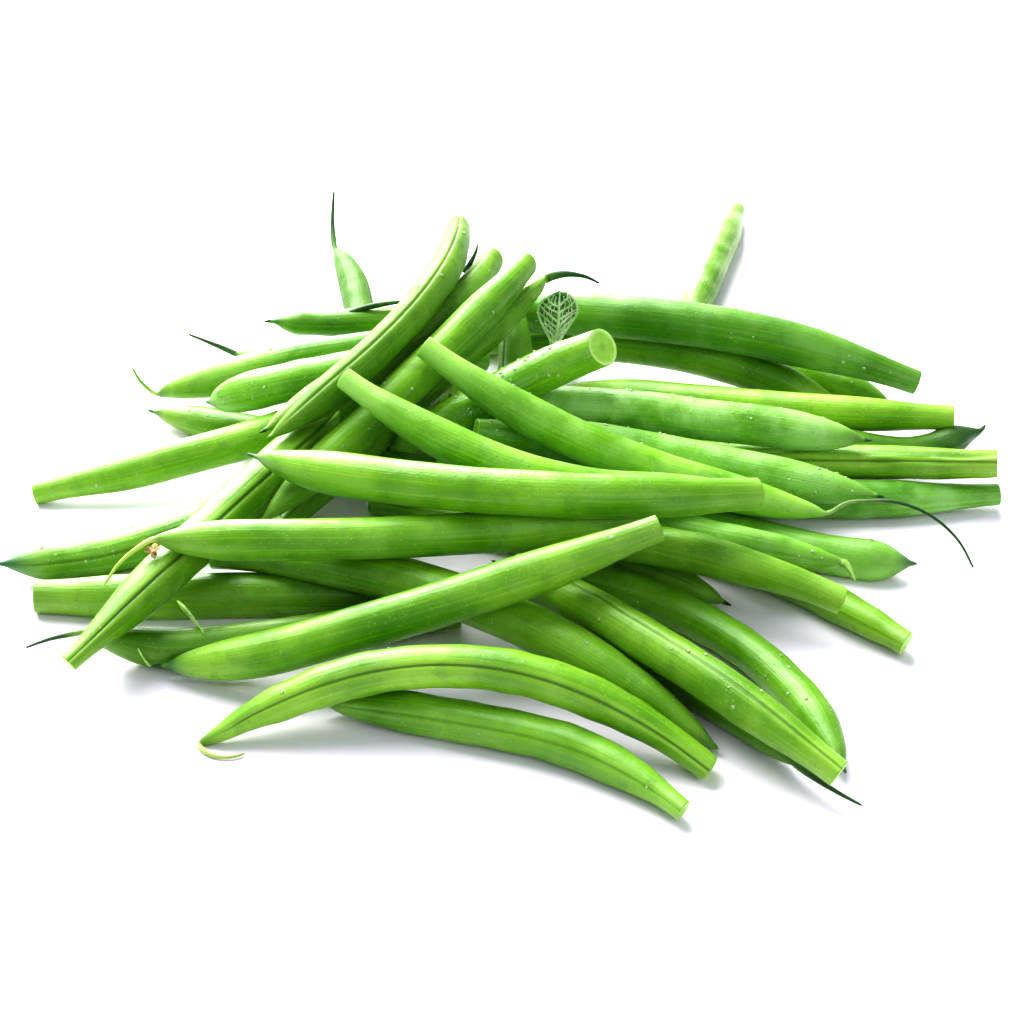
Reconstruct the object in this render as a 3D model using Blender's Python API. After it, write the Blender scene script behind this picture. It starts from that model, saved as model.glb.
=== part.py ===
"""Green bean bundle: a loose heap of whole green beans, stalk ends cut flat, tips and tails left on.

Every bean is one solid of its own, laid on a flat top. Lengths in the tables are millimetres;
the heap is written out in metres, +Z up, standing on Z = 0 with its bounding box centred on the Z axis.
"""
import math
import random

import bmesh
import bpy
import numpy as np

MM = 0.001
SEED = 11
SIDES = 8                  # flats round a pod
STATIONS = 36              # places along a pod where neighbours are compared
CLEARANCE = 0.5            # between neighbours, mm
SWEEPS = 90                # rounds of easing neighbours apart
FLOOR = 0.6                # height at which the undersides are pressed flat, mm
FLATTEN = 0.04             # how far a pod is from round: wider along its seams by this part
NECK = 0.28                # part of the length over which a pod swells from the cut
TAPER = 0.24               # part of the length over which most narrow to the tip
TAIL_ROOT = 0.55           # radius of the dry tail where it leaves the pod, mm
TAIL_END = 0.36            # radius at its end, mm
POD_RINGS = (0.0, 0.05, 0.12, 0.2, 0.28, 0.37, 0.46, 0.55, 0.64, 0.72, 0.8, 0.87, 0.93, 0.97, 1.0)
GREENS = ((0.18, 0.42, 0.03), (0.22, 0.47, 0.05), (0.14, 0.36, 0.03), (0.26, 0.5, 0.08))

# name, cut end (x, y, z), tip (x, y, z), sideways bow, upward arch, width, cut's share of the width, tail length.
# Heights are those of the middle line; the bow is to the left of the way from cut end to tip.
BEANS = (
    ("front_arch", (42, -88, 3), (-68, -78, 1), -14, 14, 9.8, 0.66, 12),
    ("front_low", (36, -103, 4), (-40, -66, 3), -7, 1, 9.6, 0.5, 1),
    ("front_diagonal", (32.7, -42, 33), (-77, -54, 3), 5, 1, 9.8, 0.62, 3),
    ("front_middle", (-70, -20, 12), (44, -80, 2), 8, 7, 9.2, 0.62, 1),
    ("front_right_long", (69, -97, 9), (-3, -26, 12), 0, 4, 9.8, 0.66, 2),
    ("front_right_curved", (3, -13, 4), (71, -89, 4), 15, 0, 9.2, 0.62, 2),
    ("front_right_under", (2, -22, 4), (61, -88, 4), 1, 1, 8.4, 0.62, 18),
    ("top_long", (56, -20, 26), (-59, -8, 28), 15, 6, 10.0, 0.72, 3),
    ("top_front", (31, -24, 22), (-81, -35, 24), 3, 0, 9.2, 0.66, 15),
    ("top_middle", (-39, 4, 44), (50, -9, 22), -12, -4, 9.0, 0.56, 2),
    ("top_tailed", (-21, 20, 42), (74, -6, 13), -3, -6, 9.2, 0.58, 42),
    ("right_middle", (74.5, -40, 13), (-41, -20, 13), -9, 4, 9.0, 0.68, 2),
    ("right_inner_low", (-33, 12, 3), (46, -33, 4), 3, 1, 9.0, 0.62, 2),
    ("right_low_cut", (89, -46, 4), (32, -4, 4), -5, 0, 8.4, 0.7, 2),
    ("right_low_tip", (-3, 21, 3), (92, -20, 4), 0, 1, 9.2, 0.62, 1),
    ("right_front", (-17, 12, 20), (77, -26, 6), -7, 1, 9.2, 0.62, 6),
    ("right_thick", (-10, 16, 23), (86, -4, 15), 6, -3, 10.2, 0.6, 2),
    ("right_upper", (-18, 28, 22), (86, 19, 13), 3, 1, 9.6, 0.6, 2),
    ("right_upper_cut", (108.5, 31, 12), (13, 57, 7), 4, 1, 8.4, 0.7, 2),
    ("right_back_tip", (-2, 46, 4), (93, 33, 4), -3, 0, 8.4, 0.62, 2),
    ("right_edge_back", (117, 17, 12), (7, 38, 4), 3, 0, 8.2, 0.85, 2),
    ("right_edge_front", (118, 14, 4), (4, 25, 4), 9, 0, 9.6, 0.56, 2),
    ("right_edge_tip", (18, 44, 4), (114, 22, 4), 0, 0, 7.6, 0.62, 1),
    ("back_thick", (102.5, 53, 10.5), (-14, 88, 6), 5, 9.5, 10.8, 0.56, 2),
    ("back_middle", (-8, 84, 4), (85, 50, 4), 1, 9, 9.2, 0.62, 2),
    ("back_low", (27, 89, 5), (96, 53, 4), 3, 1, 9.2, 0.62, 2),
    ("back_cut", (22, 34, 32), (-28, 13, 16), 0, 0, 10.0, 0.9, 2),
    ("back_alone", (63, 155, 4), (47, 96, 4), 0, 1, 8.2, 0.56, 2),
    ("sheaf_left", (-13, 90, 30), (-56, -3, 31), 13, 6, 8.6, 0.66, 1),
    ("sheaf_middle", (-3, 79, 29), (-58, 3, 24), 6, 0, 9.0, 0.66, 2),
    ("sheaf_right", (5, 69, 33), (-59, -15, 19), 6, 6, 9.2, 0.58, 2),
    ("sheaf_tailed", (-56, -4, 4), (8, 70, 33), -2, 4, 9.2, 0.62, 14),
    ("sheaf_inner", (2, 83, 17), (-17, 2, 13), 8, -3, 8.4, 0.62, 2),
    ("left_back_upper", (-2, 74, 5), (-90, 55, 5), 2, 5, 9.2, 0.62, 9),
    ("left_back_thick", (-8, 58, 14), (-75, 41, 13), 11, 10, 9.8, 0.62, 1),
    ("left_back_low", (-16, 27, 4), (-90, 50, 4), 1, 0, 8.6, 0.62, 2),
    ("left_back_far", (10, 94, 4), (-62, 80, 10), 3, 3, 7.6, 0.62, 2),
    ("left_back_inner", (-5, 60, 4), (-72, 74, 4), 0, 0, 8.6, 0.62, 13),
    ("left_back_alone", (-35.7, 73, 3), (-48.7, 133, 4), -1, 1, 7.0, 0.62, 18),
    ("left_long_cut", (-116.5, 16, 3), (-19, 54, 14), -9, 2, 8.8, 0.6, 2),
    ("left_pointed", (-27, 40, 15), (-118, -19, 5), 10, -3, 9.8, 0.62, 1),
    ("left_steep", (-97, -64, 10), (-41, 25, 22), -2, 1, 10.8, 0.42, 2),
    ("left_low_cut", (-110, -28, 4), (-22, -28, 5), 0, 0, 8.8, 0.7, 2),
    ("left_low_tip", (-12, -35, 4), (-95, -51, 4), 1.6, 0, 8.6, 0.62, 14),
)
# How a pod narrows to its tip: the part of its length, where it is not the usual one.
LONG_TIPS = {"front_arch": 0.31, "left_pointed": 0.26, "front_middle": 0.34, "top_tailed": 0.3,
             "right_thick": 0.28, "left_back_alone": 0.42, "sheaf_tailed": 0.32, "right_low_tip": 0.16,
             "left_low_tip": 0.2, "left_back_thick": 0.13, "front_right_curved": 0.2,
             "front_right_under": 0.34, "left_back_far": 0.32, "back_thick": 0.22, "right_edge_tip": 0.3,
             "front_diagonal": 0.2, "top_long": 0.2, "top_front": 0.18, "right_upper": 0.2}
# How the beak of a tip turns off the line of its pod: to the left and upward, mm.
HOOKS = {"front_diagonal": (-4.0, 0.6), "left_low_tip": (-1.0, 5.0), "left_pointed": (-1.5, 1.0),
         "right_edge_tip": (9.0, 6.0), "front_right_curved": (-1.0, 0.0), "top_long": (-1.0, 0.6),
         "front_low": (1.5, 0.0), "left_back_upper": (-1.5, 1.0), "left_back_inner": (-1.5, 1.5),
         "left_back_far": (0.0, 3.0), "right_low_tip": (3.5, 1.0)}
HOOK_START = 0.76
SWAY = 0.9                           # largest double bend of a pod, mm
SWAYS = {"front_low": -1.6, "front_diagonal": 0.0, "top_long": 0.3, "left_steep": 0.0}
# Where the two seams run, in degrees from the top of a pod; the others lie as they fall.
SEAM_AT = {"top_front": 35, "front_diagonal": 35, "top_long": 40, "top_middle": 145, "top_tailed": 145,
           "back_thick": 35, "right_upper": 145, "right_thick": 140, "back_middle": 145, "right_middle": 40,
           "left_low_cut": 145, "left_long_cut": 150, "back_cut": 30, "right_upper_cut": 35,
           "front_arch": 130, "front_low": 125, "left_steep": 170, "sheaf_left": 25, "left_pointed": 160,
           "right_edge_back": 125, "front_right_long": 170, "sheaf_middle": 20, "sheaf_right": 30,
           "left_low_tip": 35, "front_middle": 100}
# How a tail is turned, in degrees: to the left at its root and at its end, upward at its root and at its end.
TAIL_TURN = {"top_tailed": (50, -46, 24, -38), "sheaf_tailed": (-20, -72, 6, -20),
             "right_front": (-35, -65, -5, -10), "front_right_under": (0, 12, 0, 0),
             "left_back_alone": (-5, -25, 10, 50), "left_back_upper": (0, -30, 35, 60),
             "left_back_inner": (0, 15, 10, 25), "right_edge_tip": (10, 20, 20, 40),
             "front_arch": (80, 185, 0, 0), "top_front": (10, 45, -15, -40),
             "left_low_tip": (5, 18, -22, -14)}
LEAF_FOOT = (13.0, 62.3, 16.0)       # lowest point of the dry leaf scrap, mm
LEAF_TALL = 14.0
LEAF_WIDE = 10.0
LEAF_THICK = 0.8
LEAF_HOLLOW = 1.6                    # how far its middle is bowed back
LEAF_LEAN = 1.0                      # how far its top leans back


def ease_in(x):
    """Smooth step from 0 to 1."""
    x = np.clip(x, 0.0, 1.0)
    return x * x * (3.0 - 2.0 * x)


def pod_radius(u, width, cut, taper):
    """Radius along a pod: narrow at the cut, full in the middle, drawn out to the tip."""
    swell = cut + (1.0 - cut) * ease_in(u / NECK)
    left = np.clip((1.0 - u) / taper, 0.0, 1.0)
    point = 0.11 + 0.89 * np.clip(1.0 - (1.0 - left) ** 2, 0.0, 1.0) ** 0.8
    return 0.5 * width * swell * point


def middle_line(cut_end, tip, bow, arch, hook, sway, count):
    """Points along a pod: a straight run with a bow, an arch, a slight double bend and a hooked beak."""
    start = np.array(cut_end, float)
    end = np.array(tip, float)
    run = end[:2] - start[:2]
    side = np.array([-run[1], run[0]]) / np.linalg.norm(run)
    u = np.linspace(0.0, 1.0, count)
    hump = 4.0 * u * (1.0 - u)
    points = start + np.outer(u, end - start)
    beak = np.clip((u - HOOK_START) / (1.0 - HOOK_START), 0.0, 1.0) ** 1.7
    points[:, :2] += np.outer(bow * hump + sway * np.sin(2.0 * math.pi * u) + hook[0] * beak, side)
    points[:, 2] += arch * hump + hook[1] * beak
    return points


def ease_apart(lines, radii):
    """Shift, tilt and slightly bend the pods until neighbours clear each other and none is under the floor."""
    s = np.linspace(-1.0, 1.0, STATIONS)
    shapes = np.stack([np.ones(STATIONS), math.sqrt(3.0) * s, math.sqrt(5.0) * (3.0 * s * s - 1.0) / 2.0])
    give = np.array([1.0, 1.0, 0.12])
    ease = np.einsum("k,kn->n", give, shapes ** 2)
    move = give[:, None] * shapes
    first, second = np.triu_indices(len(lines), 1)
    for sweep in range(SWEEPS):
        low = (lines - radii[..., None]).min(axis=1) - CLEARANCE
        high = (lines + radii[..., None]).max(axis=1)
        near = ((low[first] < high[second]) & (low[second] < high[first])).all(axis=1)
        for a, b in zip(first[near], second[near]):
            away = lines[a][:, None] - lines[b][None]
            gap = np.sqrt((away ** 2).sum(axis=2))
            short = radii[a][:, None] + radii[b][None] + CLEARANCE - gap
            i, j = np.unravel_index(short.argmax(), short.shape)
            if short[i, j] <= 0.0:
                continue
            way = away[i, j] / gap[i, j]
            share_a = 0.35 if way[2] < -0.3 else 1.0
            share_b = 0.35 if way[2] > 0.3 else 1.0
            push = min(short[i, j], 2.0) / (ease[i] * share_a + ease[j] * share_b)
            lines[a] += shapes.T @ np.outer(move[:, i], way) * push * share_a
            lines[b] -= shapes.T @ np.outer(move[:, j], way) * push * share_b
        for k in range(len(lines)):
            for _ in range(2):
                under = radii[k] - lines[k][:, 2]
                i = under.argmax()
                if under[i] > 0.0:
                    lines[k][:, 2] += shapes.T @ move[:, i] * under[i] / ease[i]
    return lines


def tail_line(line, own, length, turns, lines, radii):
    """Middle line of a dry tail, steered clear of the pods beside it."""
    steps = max(2, min(8, 1 + int(length / 4.0) + int(abs(turns[1] - turns[0]) / 40.0)))
    way = line[-1] - line[-3]
    way /= np.linalg.norm(way)
    heading = math.atan2(way[1], way[0])
    climb = math.asin(max(-0.6, min(0.6, way[2])))
    points = [line[-1].copy()]
    for k in range(1, steps + 1):
        along = k / steps
        h = heading + math.radians(turns[0] + (turns[1] - turns[0]) * along)
        c = climb * (1.0 - along) + math.radians(turns[2] + (turns[3] - turns[2]) * along)
        step = np.array([math.cos(h) * math.cos(c), math.sin(h) * math.cos(c), math.sin(c)])
        p = points[-1] + step * length / steps
        for _ in range(6):
            for other in range(len(lines)):
                if other == own:
                    continue
                away = p - lines[other]
                gap = np.sqrt((away ** 2).sum(axis=1))
                short = radii[other] + TAIL_ROOT + 0.7 - gap
                i = short.argmax()
                if short[i] > 0.0:
                    p = p + away[i] / gap[i] * short[i]
            p[2] = max(p[2], FLOOR + TAIL_ROOT + 0.1)
        points.append(p)
    return np.array(points)


def at(line, u):
    """Point and direction on a line at a part u of its way."""
    place = np.linspace(0.0, 1.0, len(line))
    point = np.array([np.interp(u, place, line[:, k]) for k in range(3)])
    ahead = np.array([np.interp(min(1.0, u + 0.03), place, line[:, k]) for k in range(3)])
    behind = np.array([np.interp(max(0.0, u - 0.03), place, line[:, k]) for k in range(3)])
    return point, (ahead - behind) / np.linalg.norm(ahead - behind)


def ring(bm, point, way, radius, seam):
    """One ring of corners round a point, with a flat underneath, a little wider along the seams."""
    side = np.cross(way, (0.0, 0.0, 1.0))
    side /= np.linalg.norm(side)
    up = np.cross(side, way)
    corners = []
    for k in range(SIDES):
        turn = (k + 0.5) * 2.0 * math.pi / SIDES
        reach = radius * (1.0 + FLATTEN * math.cos(2.0 * (turn - seam)))
        corner = point + reach * (math.cos(turn) * up + math.sin(turn) * side)
        corner[2] = max(corner[2], FLOOR)
        corners.append(bm.verts.new(tuple(corner * MM)))
    return corners


def make_bean(name, line, width, cut, taper, tail, seam, colour):
    """One whole bean: cut end, pod, tip and tail in a single closed skin."""
    bm = bmesh.new()
    rings = []
    for u in POD_RINGS:
        point, way = at(line, u)
        rings.append(ring(bm, point, way, float(pod_radius(u, width, cut, taper)), seam))
    for k in range(1, len(tail)):
        way = tail[min(k + 1, len(tail) - 1)] - tail[k - 1]
        way /= np.linalg.norm(way)
        radius = TAIL_ROOT + (TAIL_END - TAIL_ROOT) * k / (len(tail) - 1)
        rings.append(ring(bm, tail[k], way, radius, seam))
    end = tail[-1] + (tail[-1] - tail[-2]) / np.linalg.norm(tail[-1] - tail[-2]) * 0.5
    pole = bm.verts.new(tuple(end * MM))
    bm.faces.new(rings[0])
    for near, far in zip(rings[:-1], rings[1:]):
        for k in range(SIDES):
            n = (k + 1) % SIDES
            bm.faces.new((near[n], near[k], far[k], far[n]))
    for k in range(SIDES):
        bm.faces.new((rings[-1][(k + 1) % SIDES], rings[-1][k], pole))
    return finish(bm, name, colour, 0.4)


def leaf_point(across, up, back):
    """A place on the dry leaf scrap: across from -1 to 1, up from 0 to 1, back in mm."""
    half = 0.5 * LEAF_WIDE * (0.12 + 0.88 * math.sin(math.pi * min(1.0, 0.08 + 0.8 * up)) ** 0.8)
    x = LEAF_FOOT[0] + across * half + 1.5 * up
    y = LEAF_FOOT[1] + LEAF_LEAN * up + LEAF_HOLLOW * (1.0 - across * across) * math.sin(math.pi * up) + back
    return (x * MM, y * MM, (LEAF_FOOT[2] + LEAF_TALL * up) * MM)


def make_leaf(name):
    """The dry scrap of leaf caught behind the sheaf: a thin bowed blade, pointed at its foot."""
    bm = bmesh.new()
    across = [-1.0, -0.5, 0.0, 0.5, 1.0]
    up = [0.0, 0.18, 0.36, 0.55, 0.75, 0.9, 1.0]
    front = [[bm.verts.new(leaf_point(a, v, 0.0)) for a in across] for v in up]
    rear = [[bm.verts.new(leaf_point(a, v, LEAF_THICK)) for a in across] for v in up]
    for j in range(len(up) - 1):
        for i in range(len(across) - 1):
            bm.faces.new((front[j][i], front[j][i + 1], front[j + 1][i + 1], front[j + 1][i]))
            bm.faces.new((rear[j][i + 1], rear[j][i], rear[j + 1][i], rear[j + 1][i + 1]))
        bm.faces.new((rear[j][0], front[j][0], front[j + 1][0], rear[j + 1][0]))
        bm.faces.new((front[j][-1], rear[j][-1], rear[j + 1][-1], front[j + 1][-1]))
    for i in range(len(across) - 1):
        bm.faces.new((front[0][i + 1], front[0][i], rear[0][i], rear[0][i + 1]))
        bm.faces.new((front[-1][i], front[-1][i + 1], rear[-1][i + 1], rear[-1][i]))
    return finish(bm, name, (0.3, 0.36, 0.2), 0.7)


def finish(bm, name, colour, roughness):
    """Turn a closed skin into a named object with a surface of its own."""
    bmesh.ops.recalc_face_normals(bm, faces=bm.faces)
    mesh = bpy.data.meshes.new(name)
    bm.to_mesh(mesh)
    bm.free()
    thing = bpy.data.objects.new(name, mesh)
    bpy.context.scene.collection.objects.link(thing)
    skin = bpy.data.materials.new(name + "_skin")
    skin.use_nodes = True
    shader = skin.node_tree.nodes["Principled BSDF"]
    shader.inputs["Base Color"].default_value = (*colour, 1.0)
    shader.inputs["Roughness"].default_value = roughness
    mesh.materials.append(skin)
    return thing


def clear_scene():
    """Start from nothing."""
    for thing in list(bpy.data.objects):
        bpy.data.objects.remove(thing, do_unlink=True)


def lay_lines():
    """Middle lines and radii of every bean, once neighbours clear each other."""
    rng = random.Random(SEED)
    u = np.linspace(0.0, 1.0, STATIONS)
    lines = []
    radii = []
    for name, cut_end, tip, bow, arch, width, cut, tail in BEANS:
        sway = SWAYS.get(name, SWAY * (2.0 * rng.random() - 1.0))
        lines.append(middle_line(cut_end, tip, bow, arch, HOOKS.get(name, (0.0, 0.0)), sway, STATIONS))
        radii.append(pod_radius(u, width, cut, LONG_TIPS.get(name, TAPER)))
    radii = np.array(radii)
    return ease_apart(np.array(lines), radii), radii


def lay_tail(k, lines, radii):
    """Middle line of the dry tail of one bean."""
    turns = TAIL_TURN.get(BEANS[k][0], (0.0, 0.0, 0.0, 0.0))
    return tail_line(lines[k], k, BEANS[k][7], turns, lines, radii)


def build():
    """Lay the heap and write every bean."""
    clear_scene()
    rng = random.Random(SEED)
    lines, radii = lay_lines()
    made = []
    for k, bean in enumerate(BEANS):
        seam = math.radians(SEAM_AT.get(bean[0], rng.choice((20, 40, 60, 90, 110, 140, 160))))
        colour = GREENS[rng.randrange(len(GREENS))]
        taper = LONG_TIPS.get(bean[0], TAPER)
        tail = lay_tail(k, lines, radii)
        made.append(make_bean(bean[0], lines[k], bean[5], bean[6], taper, tail, seam, colour))
    made.append(make_leaf("dry_leaf_scrap"))
    corners = np.array([v.co for thing in made for v in thing.data.vertices])
    low = corners.min(axis=0)
    high = corners.max(axis=0)
    shift = np.array([-(low[0] + high[0]) / 2.0, -(low[1] + high[1]) / 2.0, -low[2]])
    for thing in made:
        for v in thing.data.vertices:
            v.co = np.array(v.co) + shift


build()
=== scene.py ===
"""Green bean bundle: the looks of its beans, leaf scrap and small remnants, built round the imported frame."""
import math
import random

import bmesh
import bpy
import numpy as np
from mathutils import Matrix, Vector


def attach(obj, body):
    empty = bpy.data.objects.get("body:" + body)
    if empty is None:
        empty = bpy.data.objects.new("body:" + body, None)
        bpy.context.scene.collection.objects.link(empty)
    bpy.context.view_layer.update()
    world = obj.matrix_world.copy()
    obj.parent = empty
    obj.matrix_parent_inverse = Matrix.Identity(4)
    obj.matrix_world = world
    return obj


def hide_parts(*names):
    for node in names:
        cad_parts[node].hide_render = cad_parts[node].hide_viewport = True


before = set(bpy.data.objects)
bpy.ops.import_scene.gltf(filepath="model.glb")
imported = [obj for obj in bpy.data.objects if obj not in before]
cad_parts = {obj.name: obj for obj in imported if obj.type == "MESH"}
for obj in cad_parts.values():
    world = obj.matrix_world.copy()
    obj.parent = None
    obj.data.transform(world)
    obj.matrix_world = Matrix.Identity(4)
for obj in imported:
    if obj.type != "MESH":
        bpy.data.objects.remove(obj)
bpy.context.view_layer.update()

MM = 0.001
SIDES = 8                  # corners in a ring of a packed bean
POD_RINGS = 15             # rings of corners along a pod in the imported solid; the rest belong to the tail

# how finely a bean's skin is cut
SEAM_STEPS = (0.0, 3.5, 7.0, 11.0, 17.0, 25.0)      # degrees from a seam where the skin is cut finely
FACE_STEPS = (38.0, 51.0, 64.0, 77.0, 90.0)         # degrees from a seam on the plain sides
RIM_STOPS = (0.0, 0.0002, 0.0005)                   # first cuts along a bean, m from its cut end
BODY_FROM = 0.0012                                  # then evenly along the pod, m
BODY_STEP = 0.0011
POINT_FROM = 0.8                                    # share of the pod where its pointed end begins
POINT_STEP = 0.0006
TAIL_STEP = 0.0007
TAIL_REST = 0.0002                                  # no cut closer than this to the tail's end

# the shape of a skin, mm
CUT_RINGS = ((0.95, -0.05), (0.86, 0.10), (0.6, 0.16), (0.34, 0.12), (0.14, 0.26))  # share of the rim, depth
HUB_DEPTH = 0.3            # how far the middle of a cut face is sunk
CUT_ROUGH = 0.03           # unevenness of a cut face
CUT_FAT_LONG = 14.0        # stretch of a pod that look["cut_fat"] thickens
SLANT_LONG = 8.0           # stretch of a pod that look["slant"] leans over
OVAL = 0.035               # share by which a pod is wider between its seams
SEAM_GROOVE = 0.36         # depth of the seam for look["seam"] = 1
GROOVE_WIDE = 0.30
LIP_SHARE = 0.22           # height of the lips beside the seam, of its depth
LIP_AWAY = 0.85
LIP_WIDE = 0.42
RIDGE = 0.10               # low ridge opposite the seam, with a fine crease along its middle
RIDGE_WIDE = 0.6
CREASE_WIDE = 0.22
FOLD = 0.12                # depth of the shrivelled folds for look["folds"] = 1
FOLD_LONG = (25.0, 60.0)
FOLD_COUNTS = (5, 8, 11)   # folds of each kind round a pod
RIPPLE = 0.05              # slow unevenness along a pod
RIPPLE_LONG = (22, 40)
FULL_FROM = 0.9            # radius above which a bean begins to have a pod's relief
FULL_OVER = 2.5            # how much more radius it takes to have all of it
SEED_TALL = (0.08, 0.26)   # how far a seed pushes the skin out
SEED_LONG = (2.6, 3.8)     # how long its swelling is
SEED_APART = (8.5, 13.0)

# shares of a pod's length
SEED_FIRST = (0.10, 0.16)
SEED_LAST = 0.88
NEAR_TIP = 0.93            # from here a pod is kept as wide as its tail's root; look["tip_fat"] is strongest here
NEAR_TIP_LONG = 0.07
TIP_FAT_LONG = 0.05
TAIL_THIN = 0.75           # width of a tail's far end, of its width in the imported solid

# radians
TWIST = 0.35               # most that a seam winds round a pod
WAVE_TURN = 6.28
ANY_PHASE = 6.3


# ---------------------------------------------------------------- reading the frame

def welded(obj):
    """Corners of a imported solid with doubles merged, and each corner's neighbours."""
    mesh = obj.data
    places = {}
    index = []
    corners = []
    for v in mesh.vertices:
        key = tuple(round(c * 1e6) for c in v.co)
        if key not in places:
            places[key] = len(corners)
            corners.append(np.array(v.co))
        index.append(places[key])
    beside = [set() for _ in corners]
    for face in mesh.polygons:
        ids = [index[k] for k in face.vertices]
        for a, b in zip(ids, ids[1:] + ids[:1]):
            if a != b:
                beside[a].add(b)
                beside[b].add(a)
    return corners, beside


def rings_of(obj):
    """Rings of corners from the cut end to the tail's end, and the end point."""
    corners, beside = welded(obj)
    for pole in range(len(corners)):
        if len(beside[pole]) != SIDES:
            continue
        levels = [[pole]]
        seen = {pole}
        while True:
            ahead = sorted({n for k in levels[-1] for n in beside[k]} - seen)
            if not ahead:
                break
            levels.append(ahead)
            seen.update(ahead)
        if len(seen) == len(corners) and all(len(level) == SIDES for level in levels[1:]):
            rings = [np.array([corners[k] for k in level]) for level in levels[1:]]
            return rings[::-1], corners[pole]
    raise ValueError(obj.name)


def upright(way):
    """The two directions across a run: sideways and upward."""
    side = np.cross(way, (0.0, 0.0, 1.0))
    side /= np.linalg.norm(side)
    return side, np.cross(side, way)


def read_bean(obj):
    """Middle line, radii and seam angle of a packed bean."""
    rings, end = rings_of(obj)
    centres = np.array([r.mean(axis=0) for r in rings] + [end])
    radii = [float(np.linalg.norm(r - c, axis=1).mean()) for r, c in zip(rings, centres)] + [0.0]
    turn = 0.0
    for k in range(2, POD_RINGS - 3):
        if rings[k][:, 2].min() < 1e-5:                # pressed flat by the table
            continue
        way = centres[k + 1] - centres[k - 1]
        way /= np.linalg.norm(way)
        side, up = upright(way)
        for corner in rings[k] - centres[k]:
            turn += np.linalg.norm(corner) * np.exp(2j * math.atan2(corner @ side, corner @ up))
    seam = 0.5 * float(np.angle(turn)) if abs(turn) > 1e-5 else 0.6
    return centres, np.array(radii), seam


# ---------------------------------------------------------------- smooth curves

def spline(t, values, at):
    """Natural cubic through the values at t, read at the places in at."""
    values = np.asarray(values, float).reshape(len(t), -1)
    n = len(t)
    h = np.diff(t)
    a = np.eye(n)
    b = np.zeros((n, values.shape[1]))
    for i in range(1, n - 1):
        a[i, i - 1] = h[i - 1]
        a[i, i] = 2.0 * (h[i - 1] + h[i])
        a[i, i + 1] = h[i]
        b[i] = 6.0 * ((values[i + 1] - values[i]) / h[i] - (values[i] - values[i - 1]) / h[i - 1])
    m = np.linalg.solve(a, b)
    k = np.clip(np.searchsorted(t, at, side="right") - 1, 0, n - 2)
    lo = (t[k + 1] - at)[:, None]
    hi = (at - t[k])[:, None]
    step = h[k][:, None]
    curved = (m[k] * lo ** 3 + m[k + 1] * hi ** 3) / (6.0 * step)
    return curved + (values[k] / step - m[k] * step / 6.0) * lo \
        + (values[k + 1] / step - m[k + 1] * step / 6.0) * hi


def smooth(x):
    """Eases from 0 to 1."""
    x = np.clip(x, 0.0, 1.0)
    return x * x * (3.0 - 2.0 * x)


def hump(x, middle, wide):
    """A bell round the middle, 1 high."""
    return np.exp(-((x - middle) / wide) ** 2)


# ---------------------------------------------------------------- a bean's skin

def around():
    """Angles round a pod from its first seam, closer together at its two seams."""
    near = [-d for d in SEAM_STEPS[:0:-1]] + list(SEAM_STEPS)
    flank = list(FACE_STEPS) + [180.0 - d for d in FACE_STEPS[-2::-1]]
    whole = near + flank + [180.0 + d for d in near] + [180.0 + d for d in flank]
    return np.radians(np.array(whole))


def stops_along(start, pod, end):
    """Where the skin is cut across, from the cut end to the tail's end."""
    return np.concatenate([
        [start + step for step in RIM_STOPS],
        np.arange(start + BODY_FROM, pod * POINT_FROM, BODY_STEP),
        np.arange(pod * POINT_FROM, pod, POINT_STEP),
        np.arange(pod, end - TAIL_REST, TAIL_STEP),
        [end],
    ])


def sizes_along(stops, along, radii, look):
    """Radius at each stop: the pod as packed, its ends and its tail as the look asks."""
    pod = along[POD_RINGS - 1]
    end = along[-1]
    size = np.interp(stops, along, radii)
    body = spline(along[:POD_RINGS], radii[:POD_RINGS], np.minimum(stops, pod))[:, 0]
    size = np.where(stops < pod, body, size)
    past = np.clip((stops - pod) / max(end - pod, 1e-6), 0.0, 1.0)
    root = look["tail_wide"]
    size = np.where(stops > pod, size * (root + (TAIL_THIN - root) * past ** 0.8), size)
    near = np.clip((stops - pod * NEAR_TIP) / (pod * NEAR_TIP_LONG), 0.0, 1.0)
    size = np.where(stops <= pod, np.maximum(size, size[stops >= pod][0] * root * near ** 2), size)
    size *= look["plump"] * (1.0 + look["tip_fat"] * hump(stops / pod, NEAR_TIP, TIP_FAT_LONG)
                             + look["cut_fat"] * hump(stops, stops[0], CUT_FAT_LONG * MM))
    size[-1] = 0.0
    return size


def seed_swell(stops, pod, rng):
    """How far the seeds push the skin out at each stop."""
    swell = np.zeros(len(stops))
    seed = pod * rng.uniform(*SEED_FIRST)
    while seed < pod * SEED_LAST:
        tall = rng.uniform(*SEED_TALL) * MM
        long = rng.uniform(*SEED_LONG) * MM
        swell += tall * hump(stops, seed, long)
        seed += rng.uniform(*SEED_APART) * MM
    return swell


def cut_face(rim, forward, rng):
    """Rings of a pale, slightly sunken cut face inside its rim, from the middle outward, and the middle."""
    middle = rim.mean(axis=0)
    rings = []
    for part, depth in CUT_RINGS:
        rough = np.array([rng.uniform(-CUT_ROUGH, CUT_ROUGH) for _ in range(len(rim))])[:, None] * MM
        rings.append(middle + (rim - middle) * part + forward * (depth * MM + rough))
    return rings[::-1], middle + forward * HUB_DEPTH * MM


def closed_faces(count, n):
    """Faces of count rings of n corners between a first corner and a last one."""
    faces = []
    for j in range(n):
        faces.append((0, 1 + j, 1 + (j + 1) % n))
    for r in range(count - 1):
        a0 = 1 + r * n
        for j in range(n):
            i = (j + 1) % n
            faces.append((a0 + j, a0 + n + j, a0 + n + i, a0 + i))
    last = 1 + (count - 1) * n
    tip = last + n
    for j in range(n):
        faces.append((last + (j + 1) % n, last + j, tip))
    return faces


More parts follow.
